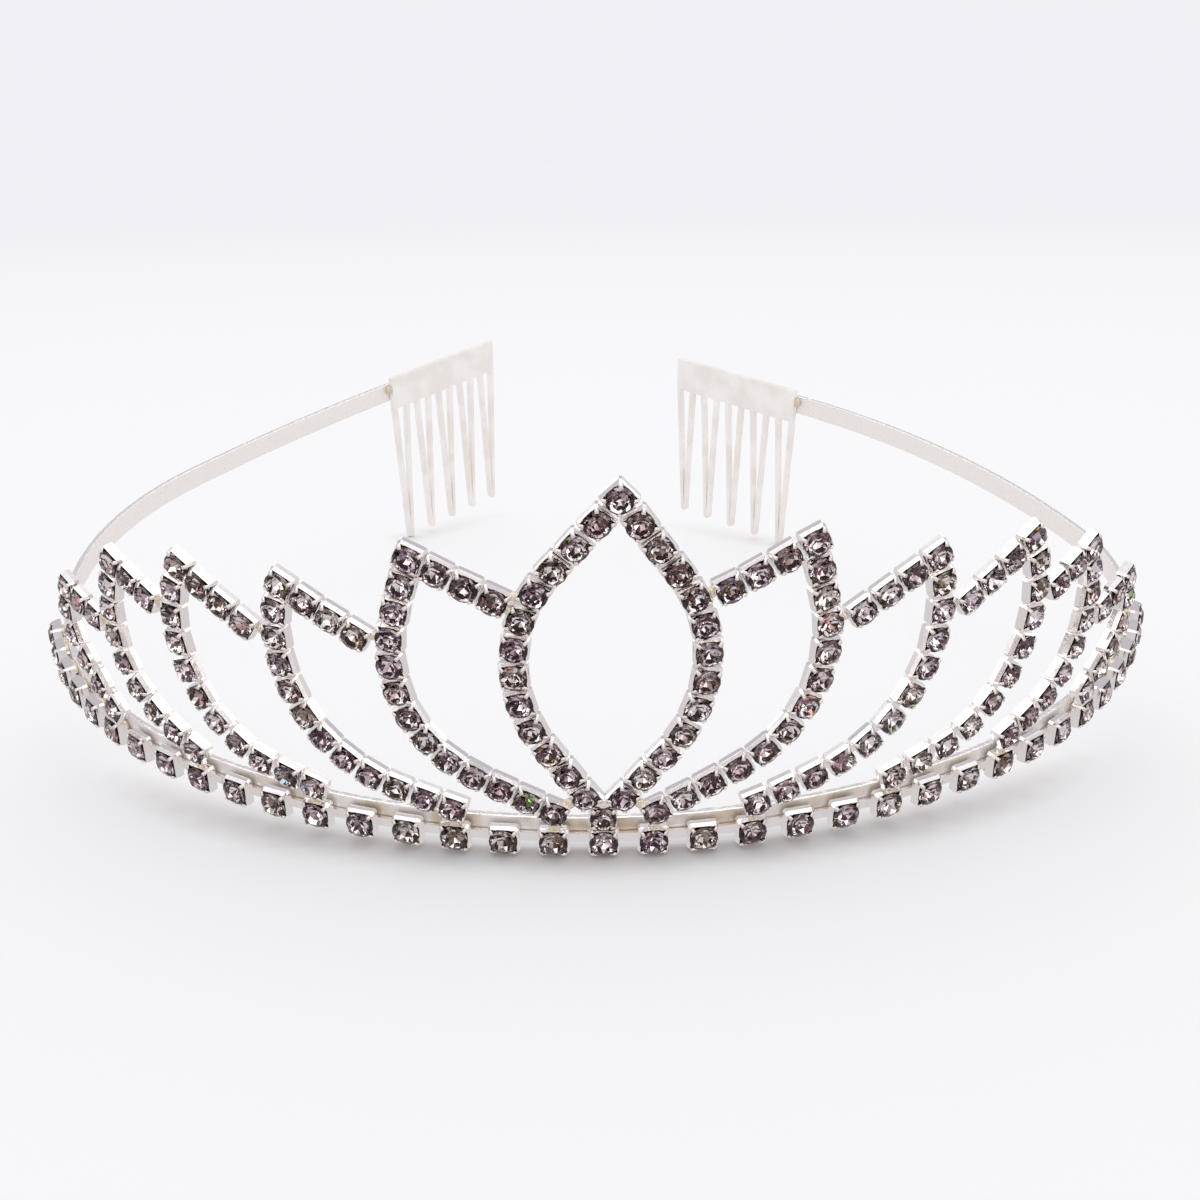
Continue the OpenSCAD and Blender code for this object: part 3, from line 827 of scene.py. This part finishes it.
# %% [markdown]
# ## Band and combs
# The band is one sprung strip with rounded edges, and each comb is stamped from flat sheet, plate
# and hairpin teeth together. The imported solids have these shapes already, but with knife edges, so
# a merged copy of each gets a small bevel that catches a line of light as the real edge does. The
# faces of the band that look up get the nicked finish.

# %% Band and combs
sharp_angle = math.radians(30)
ROUNDING_SEGMENTS = 2
# Least Z of the normal of a face that belongs to the upper edge
UPPER_EDGE_NORMAL = 0.35


def rounded_copy(name, node, materials, radius):
    """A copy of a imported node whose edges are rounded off; a second material goes on its upper edge."""
    copy = clean_copy(node)
    sharp = [edge for edge in copy.edges
             if len(edge.link_faces) == 2 and edge.calc_face_angle() > sharp_angle]
    bmesh.ops.bevel(copy, geom=sharp, offset=radius, offset_type="OFFSET", segments=ROUNDING_SEGMENTS,
                    profile=0.5, affect="EDGES", material=-1, clamp_overlap=True)
    for face in copy.faces:
        face.material_index = len(materials) - 1 if face.normal.z > UPPER_EDGE_NORMAL else 0
    print(name, "faces", len(copy.faces))
    return make_piece(name, copy, materials, [node])


# %% [markdown]
# ## Solder at the combs
# A brown drop of solder shows where each end of the band laps its comb, just below the comb's
# outer upper corner.

# %% Lap solder
lap_below_corner = 2 * MM
# Half sizes in mm, as for the other drops
LAP_SIZE = (0.6, 0.6, 0.8, 1)


def lap_solder(side):
    """The drop that joins one end of the band to its comb."""
    comb_points = [vertex.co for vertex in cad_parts[f"{side}_comb"].data.vertices]
    corner = max(comb_points, key=lambda point: abs(point.x) + point.z)
    print(side, "comb's corner in mm", [round(value / MM, 1) for value in corner])
    lap = Matrix.Translation(corner - Vector((0, 0, lap_below_corner))) @ Matrix.Diagonal(LAP_SIZE)
    shape = join_copies([(drop_mesh, lap)])
    for face in shape.faces:
        face.material_index = 0
    return make_piece(f"{side}_lap_solder", shape, [brown_solder], [])


rounded_copy("sprung_band", "headband", [band_silver, nicked_edge], radius=0.15 * MM)
for side in SIDES:
    rounded_copy(f"{side}_hair_comb", f"{side}_comb", [comb_silver], radius=0.06 * MM)
    lap_solder(side)
